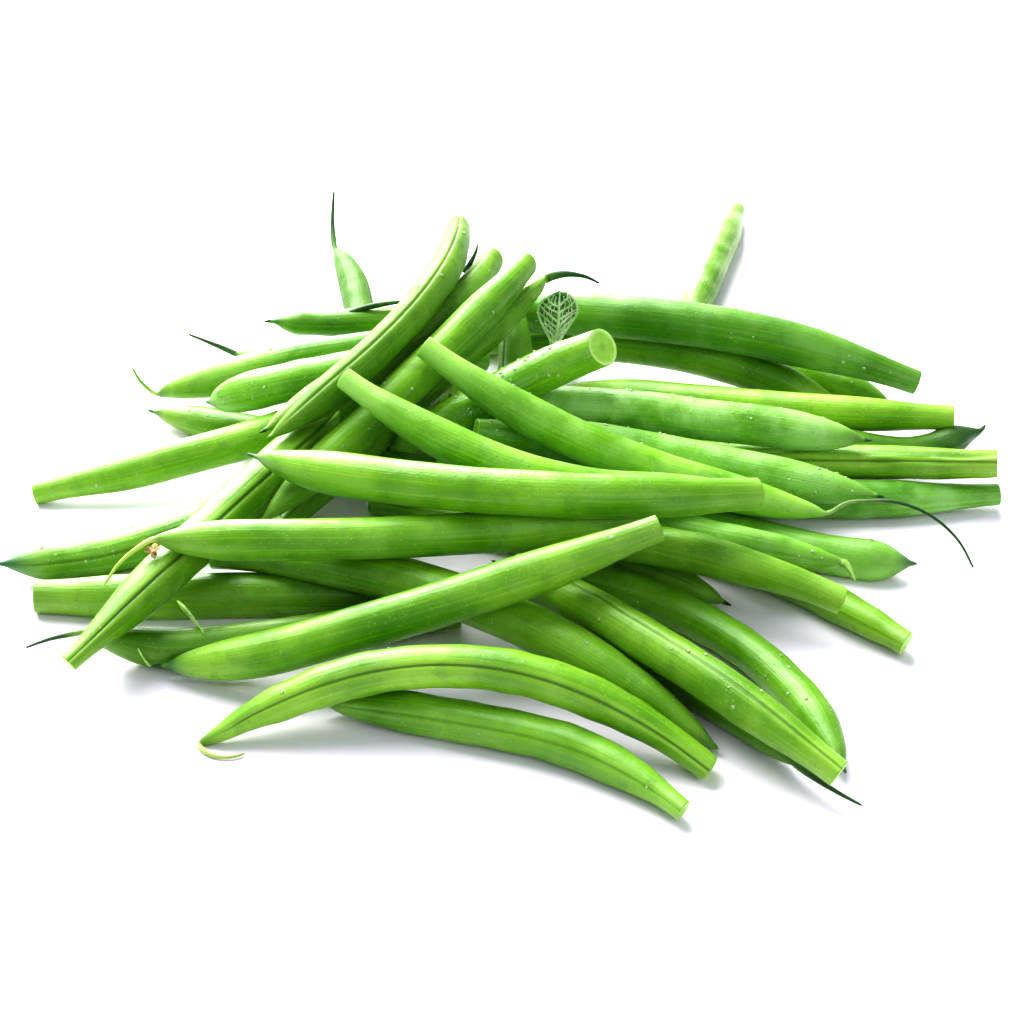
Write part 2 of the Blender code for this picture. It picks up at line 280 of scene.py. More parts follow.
def skin_mesh(name, centres, radii, seam, look, rng):
    """Fine closed skin of one bean, with what the paint needs to know stored on its corners."""
    along = np.concatenate([[0.0], np.cumsum(np.linalg.norm(np.diff(centres, axis=0), axis=1))])
    pod = along[POD_RINGS - 1]
    end = along[-1]
    stops = stops_along(look["trim"] * MM, pod, end)
    line = spline(along, centres, stops)
    size = sizes_along(stops, along, radii, look)
    ways = np.gradient(line, axis=0)
    ways /= np.linalg.norm(ways, axis=1)[:, None]
    turns = around()
    n = len(turns)
    apart = np.abs((turns + math.pi) % (2 * math.pi) - math.pi)     # from the seam
    other = math.pi - apart                                         # from the ridge opposite it
    swell = seed_swell(stops, pod, rng)
    full = smooth((size / MM - FULL_FROM) / FULL_OVER)              # 1 on the pod, 0 on the thin tail
    twist = rng.uniform(-TWIST, TWIST)
    wave = [(rng.uniform(0, ANY_PHASE), rng.uniform(*RIPPLE_LONG) * MM) for _ in range(3)]
    folds = [(rng.uniform(0, ANY_PHASE), count, rng.uniform(*FOLD_LONG) * MM) for count in FOLD_COUNTS]
    groove = SEAM_GROOVE * MM * look["seam"]
    slant = np.array(look["slant"])
    lean = np.clip(1.0 - (stops - stops[0]) / (SLANT_LONG * MM), 0.0, 1.0) ** 2
    corners = []
    for k in range(len(stops)):
        side, up = upright(ways[k])
        a = turns + seam + math.radians(look["turn"]) + twist * (stops[k] / pod - 0.5)
        arc = apart * size[k]
        back = other * size[k]
        reach = size[k] * (1.0 + OVAL * np.cos(2.0 * turns) * full[k])
        reach = reach + full[k] * (-groove * hump(arc, 0.0, GROOVE_WIDE * MM)
                                   + LIP_SHARE * groove * hump(arc, LIP_AWAY * MM, LIP_WIDE * MM)
                                   + RIDGE * MM * hump(back, 0.0, RIDGE_WIDE * MM)
                                   - RIDGE * MM * hump(back, 0.0, CREASE_WIDE * MM))
        if look["folds"]:
            crease = sum(np.sin(count * turns + p + 2.0 * math.sin(stops[k] / w * WAVE_TURN))
                         for p, count, w in folds)
            reach = reach + full[k] * look["folds"] * FOLD * MM * crease
        reach = reach + full[k] * swell[k] * np.sin(turns) ** 2
        ripple = sum(math.sin(stops[k] / w * WAVE_TURN + p) for p, w in wave) * RIPPLE * MM
        reach = reach + full[k] * ripple * np.cos(turns + wave[0][0])
        ring = line[k] + reach[:, None] * (np.cos(a)[:, None] * up + np.sin(a)[:, None] * side)
        ring += ((ring - line[k]) @ slant * lean[k])[:, None] * ways[0]
        corners.append(ring)
    cap, hub = cut_face(corners[0], ways[0], rng)
    points = np.concatenate([hub[None]] + cap + corners[:-1] + [line[-1][None]])
    points[:, 2] = np.maximum(points[:, 2], 0.0)
    caps = len(cap) * n                                             # corners in the cut face's rings
    skin = (len(corners) - 1) * n                                   # corners in the skin's rings
    mesh = bpy.data.meshes.new(name)
    mesh.from_pydata(points.tolist(), [], closed_faces(len(cap) + len(corners) - 1, n))
    mesh.update()
    layers = {
        "along": ([0.0], np.zeros(caps), np.repeat(stops[:-1] / pod, n), [end / pod]),
        "cut": (np.ones(1 + caps), np.zeros(skin + 1)),
        "hub": ([0.0], np.repeat([part for part, depth in CUT_RINGS[::-1]], n), np.ones(skin), [1.0]),
        "seam": ([0.0], np.tile(apart / math.pi, len(cap) + len(corners) - 1), [0.0]),
        "pod": (np.ones(1 + caps), np.repeat(full[:-1], n), [0.0]),
    }
    for word, values in layers.items():
        layer = mesh.attributes.new(word, "FLOAT", "POINT")
        layer.data.foreach_set("value", np.concatenate(values).astype(np.float32))
    mesh.polygons.foreach_set("use_smooth", [True] * len(mesh.polygons))
    grid = points[1 + caps:1 + caps + skin].reshape(len(corners) - 1, n, 3)
    return mesh, grid, line, stops / pod, end / pod


# ---------------------------------------------------------------- paint

class Paint:
    """A node material built a line at a time."""

    def __init__(self, name):
        self.material = bpy.data.materials.new(name)
        self.material.use_nodes = True
        self.tree = self.material.node_tree
        self.shader = self.tree.nodes["Principled BSDF"]

    def node(self, kind, **settings):
        made = self.tree.nodes.new(kind)
        for key, value in settings.items():
            setattr(made, key, value)
        return made

    def put(self, value, socket):
        if isinstance(value, bpy.types.NodeSocket):
            self.tree.links.new(value, socket)
        else:
            socket.default_value = value

    def set(self, **values):
        """Values on the shader's own sockets, with _ for a space in their names."""
        for word, value in values.items():
            self.shader.inputs[word.replace("_", " ")].default_value = value

    def attribute(self, name):
        return self.node("ShaderNodeAttribute", attribute_name=name).outputs["Fac"]

    def where(self):
        return self.node("ShaderNodeTexCoord").outputs["Object"]

    def math(self, operation, a, b):
        made = self.node("ShaderNodeMath", operation=operation)
        self.put(a, made.inputs[0])
        self.put(b, made.inputs[1])
        return made.outputs[0]

    def times(self, a, b):
        return self.math("MULTIPLY", a, b)

    def noise(self, where, scale, detail=3.0, rough=0.5):
        made = self.node("ShaderNodeTexNoise")
        self.put(where, made.inputs["Vector"])
        self.put(scale, made.inputs["Scale"])
        self.put(detail, made.inputs["Detail"])
        self.put(rough, made.inputs["Roughness"])
        return made.outputs["Fac"]

    def cells(self, where, scale):
        made = self.node("ShaderNodeTexVoronoi")
        self.put(where, made.inputs["Vector"])
        self.put(scale, made.inputs["Scale"])
        return made.outputs["Distance"]

    def spread(self, value, low, high, out_low=0.0, out_high=1.0):
        made = self.node("ShaderNodeMapRange", interpolation_type="SMOOTHSTEP")
        for v, socket in zip((value, low, high, out_low, out_high), made.inputs):
            self.put(v, socket)
        return made.outputs[0]

    def mix(self, amount, a, b):
        made = self.node("ShaderNodeMix", data_type="RGBA")
        self.put(amount, made.inputs[0])
        self.put(a if not isinstance(a, tuple) else (*a, 1.0), made.inputs[6])
        self.put(b if not isinstance(b, tuple) else (*b, 1.0), made.inputs[7])
        return made.outputs[2]

    def bump(self, height, strength, distance):
        made = self.node("ShaderNodeBump")
        made.inputs["Strength"].default_value = strength
        made.inputs["Distance"].default_value = distance
        self.put(height, made.inputs["Height"])
        return made.outputs[0]


def tone(colour, light=1.0, warm=0.0):
    """A colour made lighter or darker, and yellower or bluer."""
    r, g, b = colour
    return (min(1.0, r * light * (1.0 + warm)), min(1.0, g * light), min(1.0, b * light * (1.0 - warm)))


DEEP = (0.045, 0.185, 0.0)
FRESH = (0.203, 0.46, 0.0)
PALE = (0.40, 0.64, 0.12)
# milky colour: partly the skin's own paler tone, partly painted sheen of the lamps
MILKY_SHEEN = (0.48, 0.73, 0.27)
CUT_RIM = (0.52, 0.76, 0.22)
CUT_FLESH = (0.30, 0.60, 0.03)
CUT_GRAIN = (0.55, 0.78, 0.25)
SEAM_DARK = (0.045, 0.11, 0.004)
SEAM_BROWN = (0.12, 0.135, 0.006)
DARK_TAIL = (0.022, 0.075, 0.012)
GREEN_TAIL = (0.16, 0.36, 0.03)
PALE_TAIL = (0.52, 0.66, 0.22)
BLUISH_TIP = (0.04, 0.16, 0.05)

# grains of the skin, a metre
PATCHES = 42.0
CLOUDS = 130.0
MOTTLES = 210.0
FINE = 1300.0
BIG_SPECKS = 430.0
SMALL_SPECKS = 860.0
DUST = 760.0
STREAKS_ROUND = 34.0       # streaks run along a pod: many round it, few along it
STREAKS_ALONG = 2.6


def skin_greens(p, look, along, patch, mottle, streak):
    """The green of a pod before its seam: patches, streaks, milky clouds that are partly painted sheen, and paler
    ends.
    """
    light = look["light"]
    warm = look["warm"]
    green = p.mix(p.spread(patch, 0.30, 0.70, 0.25, 1.0),
                  tone(DEEP, light * 1.15, warm), tone(FRESH, light, warm))
    green = p.mix(p.spread(streak, 0.48, 0.72, 0.0, 0.42), green, tone(FRESH, light * 1.35, warm + 0.06))
    green = p.mix(p.spread(mottle, 0.50, 0.70, 0.0, 0.36), green, tone(DEEP, light * 1.1, warm))
    # milky clouds: partly the skin's own paler tone, partly painted sheen
    cloud = p.math("ADD", p.times(patch, 0.5), p.times(p.noise(p.where(), CLOUDS, 4.0, 0.6), 0.5))
    green = p.mix(p.spread(cloud, 0.38, 0.62, 0.1 * look["pale"], look["pale"]),
                  green, tone(MILKY_SHEEN, light, warm))
    ends = p.math("ADD", p.spread(along, 0.08 + 0.18 * look["pale_cut"], 0.0, 0.0, look["pale_cut"]),
                  p.spread(along, 0.86, 1.0, 0.0, 0.3))
    return p.mix(ends, green, tone(PALE, light, warm - 0.12 * look["pale_cut"]))


def skin_specks(p, look, green, patch, mottle):
    """Fine pale specks, and finer dark ones."""
    where = p.where()
    light = look["light"]
    warm = look["warm"]
    dots = p.math("MAXIMUM", p.spread(p.cells(where, SMALL_SPECKS), 0.22, 0.10),
                  p.spread(p.cells(where, BIG_SPECKS), 0.13, 0.06))
    dots = p.times(dots, p.spread(mottle, 0.36, 0.52))
    green = p.mix(p.times(dots, 0.36 * look["specks"]), green, tone(PALE, light * 1.1, warm))
    dust = p.times(p.spread(p.cells(where, DUST), 0.16, 0.08), p.spread(patch, 0.42, 0.6))
    return p.mix(p.times(dust, 0.4 * look["specks"]), green, tone(DEEP, light * 0.6, warm))


def skin_seam(p, look, green, streak):
    """A thin dark seam between paler edges, and a light line on the far side."""
    light = look["light"]
    warm = look["warm"]
    seam = p.attribute("seam")
    pod = p.attribute("pod")
    if look["seam"] > 0.0:
        wander = p.spread(streak, 0.35, 0.65, 0.55, 1.0)
        line = p.times(p.times(p.spread(seam, 0.030, 0.010), pod), wander)
        edges = p.times(p.spread(seam, 0.022, 0.045), p.spread(seam, 0.12, 0.055))
        edges = p.times(edges, pod)
        green = p.mix(p.times(edges, 0.34 * look["seam"]), green, tone(PALE, light * 0.95, warm))
        dark = SEAM_BROWN if look["brown"] else SEAM_DARK
        green = p.mix(p.times(line, min(1.0, 0.9 * look["seam"])), green, tone(dark, light, warm))
    back = p.times(p.spread(seam, 0.955, 0.99), pod)
    return p.mix(p.times(back, 0.22), green, tone(PALE, light * 1.05, warm))


def skin_point(p, look, last, green, along, mottle):
    """The darker point, and the tail where the bean has one."""
    point = p.times(p.spread(along, 1.0 - look["tip_long"], 1.0), look["tip"])
    green = p.mix(point, green, look["tip_colour"])
    if last <= 1.02:
        return green
    far = p.mix(p.spread(along, 1.0, 1.0 + 0.45 * (last - 1.0)), look["tail_root"], look["tail_end"])
    far = p.mix(p.spread(mottle, 0.4, 0.7, 0.0, 0.4), far, tone(look["tail_end"], 1.9))
    return p.mix(p.spread(along, 0.985, 1.01), green, far)


def cut_flesh(p, fine):
    """The cut face: flesh, a paler rim and a darker middle."""
    hub = p.attribute("hub")
    face = p.mix(p.spread(hub, 0.72, 0.93), CUT_FLESH, CUT_RIM)
    face = p.mix(p.spread(hub, 0.32, 0.08, 0.0, 0.5), face, tone(FRESH, 0.7))
    return p.mix(p.spread(fine, 0.48, 0.72, 0.0, 0.35), face, CUT_GRAIN)


def bean_skin(name, look, last):
    """Fresh green bean skin for one bean; last is where its tail ends, in pod lengths."""
    p = Paint(name)
    where = p.where()
    along = p.attribute("along")
    patch = p.noise(where, PATCHES, 2.0, 0.5)
    mottle = p.noise(where, MOTTLES, 3.0, 0.55)
    fine = p.noise(where, FINE, 2.0, 0.6)
    grain = p.node("ShaderNodeCombineXYZ")
    p.put(p.times(p.attribute("seam"), STREAKS_ROUND), grain.inputs[0])
    p.put(p.times(along, STREAKS_ALONG), grain.inputs[1])
    p.put(p.times(patch, 1.2), grain.inputs[2])
    streak = p.noise(grain.outputs[0], 1.0, 3.0, 0.55)
    green = skin_greens(p, look, along, patch, mottle, streak)
    green = skin_specks(p, look, green, patch, mottle)
    green = skin_seam(p, look, green, streak)
    green = skin_point(p, look, last, green, along, mottle)
    p.put(p.mix(p.attribute("cut"), green, cut_flesh(p, fine)), p.shader.inputs["Base Color"])
    rough = look["rough"]
    p.put(p.spread(mottle, 0.35, 0.7, rough - 0.05, rough + 0.08), p.shader.inputs["Roughness"])
    p.set(Specular_IOR_Level=0.5, Specular_Tint=(0.84, 1.0, 0.90, 1.0), Coat_Weight=0.10, Coat_Roughness=0.22,
          Subsurface_Weight=0.10, Subsurface_Radius=(0.5, 1.0, 0.15), Subsurface_Scale=0.0015)
    relief = p.math("ADD", p.times(fine, 0.35), p.times(mottle, 0.8))
    relief = p.math("ADD", relief, p.times(streak, 0.5))
    p.put(p.bump(relief, 0.45, 0.0005), p.shader.inputs["Normal"])
    return p.material


# ---------------------------------------------------------------- how each bean looks

# light, warm    how light and how yellow its green is; drawn at random where it isn't given, and lowered as painted shade on sheaf_left and left_back_alone
# pale, pale_cut share of milky clouds on the pod, partly paler skin and partly painted sheen, and of the pale
# flush at its cut end
# seam, brown    strength of its seam, and whether it is brown rather than dark green
# turn           degrees that the seam is turned round the pod from where the solid has it
# folds, rough   shrivelled folds along it, and the roughness of its skin
# tip, tip_long, tip_colour      the point: share of its colour, length in pod lengths, colour
# tail_root, tail_end, tail_wide the tail: colours at both ends, and width at its root
# specks, drops  strength of its pale specks, and number of water drops on it
# slant          how the cut face leans off square
# plump, tip_fat, cut_fat, trim  fuller pod, blunter point, thicker cut end, and mm taken off that end
USUAL = {
    "pale": 0.16, "pale_cut": 0.3, "seam": 0.25, "brown": False, "turn": 0.0, "folds": 0.0, "rough": 0.38,
    "tip": 0.55, "tip_long": 0.05, "tip_colour": (0.05, 0.14, 0.02),
    "tail_root": GREEN_TAIL, "tail_end": DARK_TAIL, "tail_wide": 1.25, "specks": 1.0, "drops": 8,
    "slant": (0.0, 0.0, 0.0), "plump": 1.0, "tip_fat": 0.0, "cut_fat": 0.0, "trim": 0.0,
}
FACE_FRONT = (0.0, -0.70, 0.48)        # cut faces turned to the front, up, or more or less out of sight
FACE_UP = (0.0, 0.15, -0.35)
FACE_UNDER = (0.0, 0.3, -0.2)
FACE_FAR_UNDER = (0.0, 0.4, -0.25)
LOOKS = {
    "front_arch": {"warm": 0.05, "seam": 0.8, "tip": 0.5, "tail_root": PALE_TAIL, "tail_end": (0.3, 0.4, 0.1),
                   "slant": FACE_UNDER},
    "front_low": {"light": 0.95, "seam": 0.45, "slant": FACE_FAR_UNDER},
    "front_diagonal": {"light": 0.98, "warm": 0.05, "seam": 0.0, "tip": 0.9, "tip_long": 0.07,
                       "tip_colour": BLUISH_TIP, "drops": 4},
    "front_middle": {"light": 0.9, "seam": 0.3, "drops": 16, "plump": 1.12},
    "front_right_long": {"light": 0.92, "seam": 0.6, "drops": 22, "slant": FACE_UNDER},
    "front_right_curved": {"light": 0.9, "warm": -0.03, "seam": 0.1, "drops": 26},
    "front_right_under": {"light": 0.75, "tail_root": (0.08, 0.22, 0.02), "tail_wide": 1.9},
    "top_long": {"light": 0.98, "warm": 0.0, "pale": 0.15, "seam": 0.15, "drops": 6},
    "top_front": {"light": 0.98, "warm": 0.02, "seam": 0.0, "tip": 0.25, "tail_root": PALE_TAIL,
                  "tail_end": (0.42, 0.56, 0.12), "tail_wide": 1.3, "drops": 4},
    "top_middle": {"light": 1.06, "pale": 0.25, "pale_cut": 0.9, "seam": 0.0, "tip": 0.0, "drops": 10},
    "top_tailed": {"light": 1.08, "pale": 0.35, "pale_cut": 1.0, "seam": 0.0, "tip": 0.1,
                   "tail_root": (0.36, 0.55, 0.15), "tail_wide": 1.0, "drops": 10},
    "right_middle": {"light": 0.92, "warm": 0.05, "seam": 0.1, "slant": FACE_FAR_UNDER},
    "right_low_tip": {"warm": -0.08, "pale": 0.35, "tip": 0.85, "tip_colour": (0.05, 0.14, 0.06), "drops": 14,
                      "tip_fat": 0.25},
    "right_low_cut": {"light": 0.95, "warm": 0.08, "seam": 0.2, "slant": FACE_FAR_UNDER},
    "right_front": {"light": 0.92, "warm": -0.05, "pale": 0.3, "tip": 0.2, "tail_root": (0.3, 0.5, 0.1),
                    "tail_end": (0.2, 0.36, 0.06), "tail_wide": 2.2, "drops": 16},
    "right_thick": {"light": 0.92, "warm": -0.08, "pale": 0.45, "tip": 0.15, "specks": 1.4, "drops": 70},
    "right_upper": {"light": 0.98, "warm": -0.05, "pale": 0.75, "specks": 1.4, "drops": 60},
    "right_upper_cut": {"light": 1.05, "warm": 0.12},
    "right_edge_back": {"light": 1.05, "warm": 0.12, "pale": 0.3, "seam": 0.7, "folds": 1.0},
    "right_edge_front": {"light": 0.98, "warm": -0.12, "pale": 0.5, "drops": 12},
    "right_edge_tip": {"light": 0.6, "tip": 1.0, "tip_long": 0.2, "tip_colour": (0.03, 0.10, 0.02),
                       "tip_fat": 0.9},
    "back_thick": {"light": 0.78, "warm": -0.10, "pale": 0.25, "rough": 0.42, "drops": 34},
    "back_middle": {"light": 0.92, "warm": 0.04, "drops": 16},
    "back_low": {"light": 0.95},
    "back_cut": {"light": 1.05, "warm": 0.05, "pale_cut": 0.2, "rough": 0.28, "specks": 1.5, "drops": 80,
                 "slant": FACE_FRONT},
    "back_alone": {"light": 0.86, "warm": 0.03, "pale": 0.9, "drops": 2, "plump": 1.15},
    # sheaf_left: its green is darkened as painted shade, so the strong key light does not wash it out
    "sheaf_left": {"light": 0.72, "warm": 0.02, "pale": 0.05, "pale_cut": 0.0, "seam": 0.7, "brown": True,
                   "turn": -38.0, "rough": 0.6, "tip": 0.0, "drops": 20, "slant": FACE_UP, "cut_fat": 0.1,
                   "trim": 3.6},
    "sheaf_middle": {"light": 0.8, "pale_cut": 0.0, "seam": 0.6, "rough": 0.5, "tip": 0.0, "drops": 14,
                     "slant": FACE_UP, "cut_fat": 0.05},
    "sheaf_right": {"light": 0.9, "warm": 0.05, "pale": 0.1, "pale_cut": 0.1, "seam": 0.4, "rough": 0.48,
                    "tip": 0.0, "drops": 16, "slant": FACE_UP, "cut_fat": 0.10, "trim": 1.8},
    "sheaf_tailed": {"light": 0.95, "warm": 0.08, "tip": 0.5, "tip_long": 0.1,
                     "tip_colour": (0.10, 0.24, 0.02), "tail_root": (0.07, 0.18, 0.02), "tail_wide": 2.6,
                     "drops": 16},
    "sheaf_inner": {"light": 0.8, "seam": 0.9},
    # left_back_alone: its green is much darkened as painted shade against the strong key and back light on it
    "left_back_alone": {"light": 0.48, "warm": -0.1, "pale": 0.1, "pale_cut": 0.0, "seam": 1.0, "rough": 0.65,
                        "tail_root": (0.1, 0.25, 0.04), "tail_wide": 1.6, "plump": 1.12},
    "left_back_upper": {"warm": 0.03, "pale": 0.3, "tail_root": PALE_TAIL, "tail_end": GREEN_TAIL,
                        "drops": 30},
    "left_back_thick": {"light": 0.98, "specks": 1.5, "drops": 34},
    "left_back_far": {"light": 0.75, "tip": 0.8, "tip_fat": 0.5},
    "left_back_inner": {"light": 1.0, "pale": 0.2, "tail_root": (0.05, 0.12, 0.03), "tail_wide": 1.7},
    "left_back_low": {"light": 0.8, "pale": 0.2, "tip": 0.8},
    "left_long_cut": {"light": 1.0, "warm": 0.06, "drops": 16},
    "left_pointed": {"light": 0.92, "seam": 0.55, "brown": True, "turn": -34.0, "tip": 1.0, "tip_long": 0.09,
                     "tip_colour": BLUISH_TIP, "specks": 1.4, "drops": 50, "tip_fat": 0.4},
    "left_steep": {"light": 0.98, "warm": 0.08, "pale": 0.2, "seam": 0.9, "turn": 48.0, "drops": 16,
                   "slant": FACE_FAR_UNDER},
    "left_low_cut": {"light": 0.85, "warm": 0.05, "plump": 1.2},
    "left_low_tip": {"light": 0.82, "tail_root": (0.3, 0.48, 0.1), "tail_wide": 1.6, "drops": 4},
}


# ---------------------------------------------------------------- beans

def put_in(name, mesh, material):
    """A smooth piece of the heap with its material."""
    mesh.polygons.foreach_set("use_smooth", [True] * len(mesh.polygons))
    mesh.materials.append(material)
    made = bpy.data.objects.new(name, mesh)
    bpy.context.scene.collection.objects.link(made)
    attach(made, "root")
    return made


def mesh_of(name, bm):
    mesh = bpy.data.meshes.new(name)
    bm.to_mesh(mesh)
    bm.free()
    return mesh


def bead(bm, place, out, wide, tall):
    """One droplet sitting on a skin: a flattened ball sunk a little into it."""
    made = bmesh.ops.create_icosphere(bm, subdivisions=2, radius=1.0)
    turn = Vector(out).to_track_quat("Z", "Y").to_matrix()
    for v in made["verts"]:
        v.co = Vector(place) + turn @ Vector((v.co.x * wide, v.co.y * wide, (v.co.z + 0.25) * tall))


DROP_RADII = (0.12, 0.15, 0.2, 0.25, 0.32, 0.46)       # mm
DROP_FLATNESS = (0.4, 0.65)                            # height of a drop, of its radius
WET = (0.03, 0.95)                                     # stretch of a pod that has drops
IN_CLUSTERS = 0.6                                      # share of the drops
CLUSTER = 7                                            # one cluster for so many drops
CLUSTER_LONG = 5.0                                     # spread of a cluster, in rings of the skin


def scatter_drops(bm, grid, line, places, count, rng):
    """Droplets in loose clusters on the upper side of a bean."""
    rows = [k for k in range(len(grid)) if WET[0] < places[k] < WET[1]]
    middles = [rng.choice(rows) for _ in range(max(1, count // CLUSTER))]
    for _ in range(count):
        if rng.random() < IN_CLUSTERS:
            k = min(max(int(rng.gauss(rng.choice(middles), CLUSTER_LONG)), rows[0]), rows[-1])
        else:
            k = rng.choice(rows)
        up = [j for j in range(grid.shape[1]) if grid[k, j, 2] > line[k, 2] + 0.0002]
        j = rng.choice(up)
        out = grid[k, j] - line[k]
        wide = rng.choice(DROP_RADII) * MM
        bead(bm, grid[k, j], out / np.linalg.norm(out), wide, wide * rng.uniform(*DROP_FLATNESS))


drops = bmesh.new()
tips = {}                                              # where each pod ends, and its tail's end
rng = random.Random(21)
for name in sorted(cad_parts):
    if name.startswith("dry_leaf"):
        continue
    look = dict(USUAL)
    look["light"] = rng.uniform(0.9, 1.08)
    look["warm"] = rng.uniform(-0.05, 0.08)
    look.update(LOOKS.get(name, {}))
    centres, radii, seam = read_bean(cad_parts[name])
    mesh, grid, line, places, last = skin_mesh(name + "_skin", centres, radii, seam, look, rng)
    bean = put_in("bean_" + name, mesh, bean_skin("skin_" + name, look, last))
    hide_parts(name)
    scatter_drops(drops, grid, line, places, look["drops"], rng)
    tips[name] = (Vector(centres[POD_RINGS - 1]), Vector(centres[-1]))

water = Paint("water")
water.set(Base_Color=(0.80, 0.97, 0.62, 1.0), Roughness=0.04, IOR=1.45, Transmission_Weight=0.6)
put_in("water_drops", mesh_of("water_drops", drops), water.material)


# ---------------------------------------------------------------- leaf scrap and small remnants

def rope(bm, points, radii, sides=8):
    """A thin closed tube through points, in metres."""
    points = np.asarray(points, float)
    t = np.arange(len(points), dtype=float)
    fine = np.linspace(0.0, t[-1], 6 * (len(points) - 1) + 1)
    line = spline(t, points, fine)
    size = np.interp(fine, t, radii)
    ways = np.gradient(line, axis=0)
    rings = []
    for c, r, way in zip(line, size, ways):
        across, up = upright(way / np.linalg.norm(way) + np.array((1e-6, 0.0, 0.0)))
        rings.append([bm.verts.new(tuple(c + r * (math.cos(a) * up + math.sin(a) * across)))
                      for a in np.arange(sides) * 2.0 * math.pi / sides])
    for a, b in zip(rings[:-1], rings[1:]):
        for k in range(sides):
            n = (k + 1) % sides
            bm.faces.new((a[n], a[k], b[k], b[n]))
    bm.faces.new(rings[0])
    bm.faces.new(rings[-1][::-1])


def plain_paint(name, first, second, scale, rough):
    """Two colours mixed by a noise."""
    p = Paint(name)
    amount = p.spread(p.noise(p.where(), scale, 3.0, 0.6), 0.38, 0.62)
    p.put(p.mix(amount, first, second), p.shader.inputs["Base Color"])
    p.set(Roughness=rough)
    p.put(p.bump(p.noise(p.where(), scale * 2.0), 0.4, 0.0002), p.shader.inputs["Normal"])
    return p.material


def small_piece(name, bm, material):
    bmesh.ops.recalc_face_normals(bm, faces=bm.faces)
    return put_in(name, mesh_of(name, bm), material)


LEAF_SHIFT = np.array((-0.0023, 0.0, 0.0))     # the drawn leaf stands a little to the left of the solid,
LEAF_SINK = 0.0006                             # a little lower
LEAF_TALLER = 1.17                             # and is taller

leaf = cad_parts["dry_leaf_scrap"]
corners = np.array([leaf.matrix_world @ v.co for v in leaf.data.vertices])
foot = corners[:, 2].min()
tall = np.ptp(corners[:, 2])
near_foot = corners[corners[:, 2] < foot + 0.15 * tall].mean(axis=0) + LEAF_SHIFT
near_top = corners[corners[:, 2] > foot + 0.9 * tall].mean(axis=0) + LEAF_SHIFT
foot -= LEAF_SINK
tall *= LEAF_TALLER
half = 0.5 * np.ptp(corners[:, 0])


def leaf_place(a, v, out=0.0):
    """A place on the leaf: a from -1 to 1 across, v from 0 at its foot to 1, out toward its front."""
    widening = 0.14 + 0.86 * float(smooth(v / 0.62))
    closing = math.sqrt(max(0.03, 1.0 - max(0.0, v / 0.4 - 1.5) ** 2))
    wide = half * widening * closing
    curl = 0.0016 * a * a * math.sin(math.pi * v) + 0.0004 * math.sin(9.0 * v + 4.0 * a)
    low = near_foot + (near_top - near_foot) * v
    return (low[0] + a * wide, low[1] - 0.0004 + curl - out, foot + tall * v)


ACROSS = 24                # cells of the leaf's film, across and up it
UP = 36
HOLES = 9
FILM_HALF = 0.0001         # half its thickness

blade = bmesh.new()
grid_front = {}
grid_back = {}
for i in range(ACROSS + 1):
    for j in range(UP + 1):
        a = 2.0 * i / ACROSS - 1.0
        v = j / UP
        grid_front[i, j] = blade.verts.new(leaf_place(a, v, FILM_HALF))
        grid_back[i, j] = blade.verts.new(leaf_place(a, v, -FILM_HALF))
rng = random.Random(8)
open_cells = set()
for _ in range(HOLES):
    i = rng.randrange(2, ACROSS // 2 + 3)
    j = rng.randrange(4, UP - 8)
    open_cells.update({(i, j), (i + 1, j + 1), (i, j + 1), (i + 1, j)})
whole = {(i, j) for i in range(ACROSS) for j in range(UP)} - open_cells
for i, j in sorted(whole):
    blade.faces.new((grid_front[i, j], grid_front[i + 1, j], grid_front[i + 1, j + 1], grid_front[i, j + 1]))
    blade.faces.new((grid_back[i + 1, j], grid_back[i, j], grid_back[i, j + 1], grid_back[i + 1, j + 1]))
    sides = (((-1, 0), (i, j), (i, j + 1)), ((1, 0), (i + 1, j + 1), (i + 1, j)),
             ((0, -1), (i + 1, j), (i, j)), ((0, 1), (i, j + 1), (i + 1, j + 1)))
    for (di, dj), a, b in sides:
        if (i + di, j + dj) not in whole:
            blade.faces.new((grid_front[b], grid_front[a], grid_back[a], grid_back[b]))
film = plain_paint("leaf_film", (0.06, 0.20, 0.04), (0.28, 0.48, 0.20), 420.0, 0.6)
blade_piece = small_piece("leaf_blade", blade, film)
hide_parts("dry_leaf_scrap")

VEIN_OUT = 0.0003          # the ribs stand this far in front of the film
NET_OUT = 0.00025
LEAF_END = 0.97            # how far up the ribs go

veins = bmesh.new()
rope(veins, [leaf_place(0.06 * math.sin(4.0 * v), v, VEIN_OUT) for v in (0.0, 0.25, 0.5, 0.75, 0.98)],
     [0.00055, 0.0005, 0.00042, 0.00034, 0.0002])
for side in (-1.0, 1.0):
    rope(veins, [leaf_place(side * 0.98, v, 0.0001) for v in np.linspace(0.0, LEAF_END, 9)], [0.00034] * 9)
    for k in range(7):
        v = 0.06 + 0.115 * k + rng.uniform(-0.02, 0.02)
        rise = rng.uniform(0.14, 0.24)
        bend = rng.uniform(-0.03, 0.03)
        ends = [leaf_place(side * s, min(LEAF_END, v + rise * s + bend * math.sin(3.1 * s)), VEIN_OUT)
                for s in (0.0, 0.3, 0.6, 0.93)]
        rope(veins, ends, [0.00036, 0.0003, 0.00024, 0.00018], 6)
        for s in (0.28, 0.5, 0.74):
            a = side * (s + rng.uniform(-0.06, 0.06))
            b = v + rise * s
            if b + 0.12 < LEAF_END:
                net = [leaf_place(a, b, NET_OUT),
                       leaf_place(a + rng.uniform(-0.07, 0.07), b + 0.055, VEIN_OUT),
                       leaf_place(a + rng.uniform(-0.06, 0.06), b + 0.12, NET_OUT)]
                rope(veins, net, [0.00016, 0.00013, 0.00016], 6)
